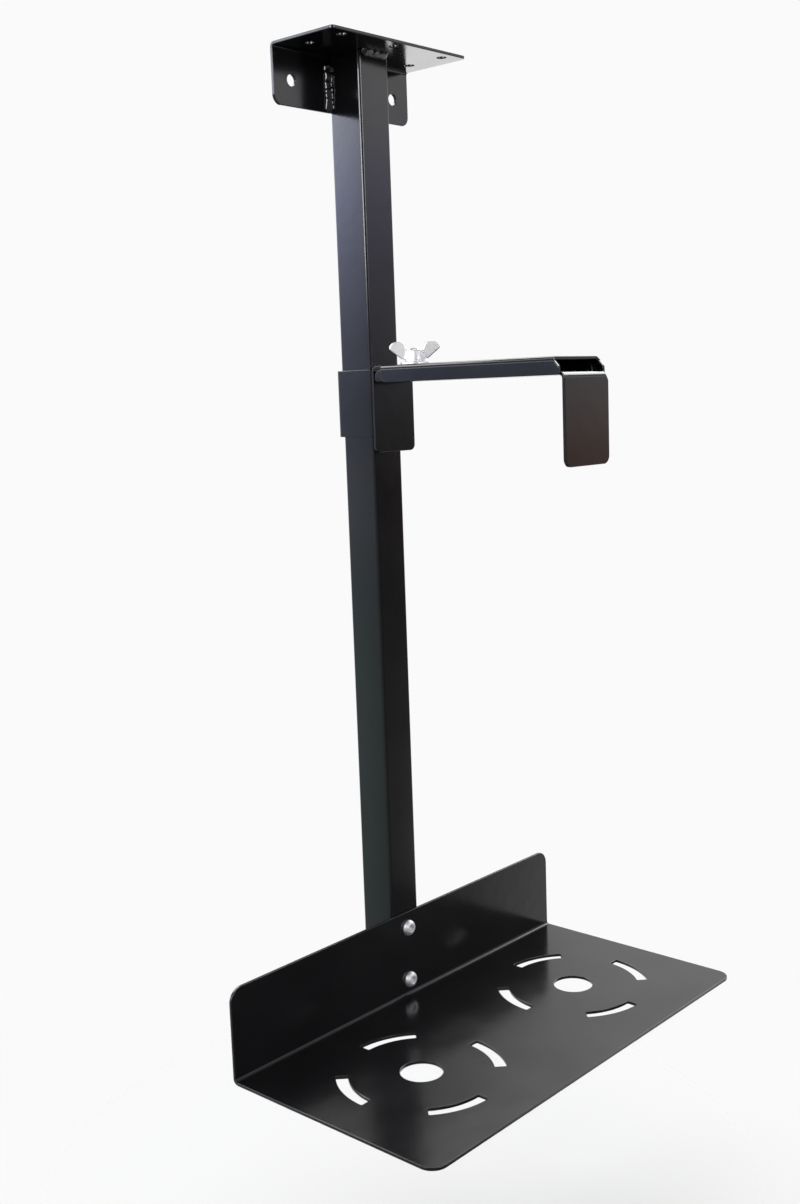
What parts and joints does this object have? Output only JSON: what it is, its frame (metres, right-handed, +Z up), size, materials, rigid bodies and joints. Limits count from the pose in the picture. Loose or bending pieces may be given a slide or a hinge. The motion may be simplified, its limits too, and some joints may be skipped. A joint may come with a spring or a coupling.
{
  "type": "cpu holder",
  "caption": "Under-desk computer tower holder: plate-topped square upright, perforated shelf tray and a height-adjustable sliding clamp arm locked by a wing nut.",
  "frame": {"origin": "on the axis of the upright, in the upper face of the bracket plate that lies against the desk", "axes": "+Z up, X along the tray's long side, the tower stands on the -Y side and the bracket's flange is on the +Y side"},
  "size_m": [0.315, 0.1933, 0.615],
  "materials": {
    "black_steel": "black powder coat, semi-gloss",
    "painted_weld": "weld bead under the same black coat, glossier",
    "zinc_steel": "bright zinc plate",
    "black_plastic": "fine moulded grain"
  },
  "bodies": {
    "stand": {"top_bracket": "black_steel", "upright_tube": "black_steel", "bracket_weld_left": "painted_weld", "bracket_weld_right": "painted_weld", "bracket_weld_front": "painted_weld", "tube_end_cap": "black_plastic", "tray": "black_steel", "tray_bolt_upper": "zinc_steel", "tray_bolt_lower": "zinc_steel", "tray_washer_upper": "zinc_steel", "tray_washer_lower": "zinc_steel", "tray_nut_upper": "zinc_steel", "tray_nut_lower": "zinc_steel"},
    "carriage": {"sleeve": "black_steel", "fixed_arm": "black_steel", "sleeve_weld": "painted_weld", "lock_nut": "black_steel"},
    "lock_screw": {"lock_screw": "zinc_steel"},
    "slider": {"sliding_arm": "black_steel", "clamp_stud": "zinc_steel", "clamp_washer": "zinc_steel"},
    "wing_nut": {"wing_nut": "zinc_steel"}
  },
  "joints": [
    {"name": "sleeve_slide", "type": "slide", "parent": "stand", "child": "carriage", "axis": [0, 0, 1], "range_m": [-0.312, 0.155]},
    {"name": "lock_screw_turn", "type": "hinge", "parent": "carriage", "child": "lock_screw", "pos_m": [0.02, 0, -0.216], "axis": [1, 0, 0], "continuous": true},
    {"name": "arm_slide", "type": "slide", "parent": "carriage", "child": "slider", "axis": [0, -1, 0], "range_m": [0, 0.09]},
    {"name": "wing_nut_turn", "type": "hinge", "parent": "slider", "child": "wing_nut", "pos_m": [0, -0.03865, -0.186], "axis": [0, 0, 1], "continuous": true}
  ]
}
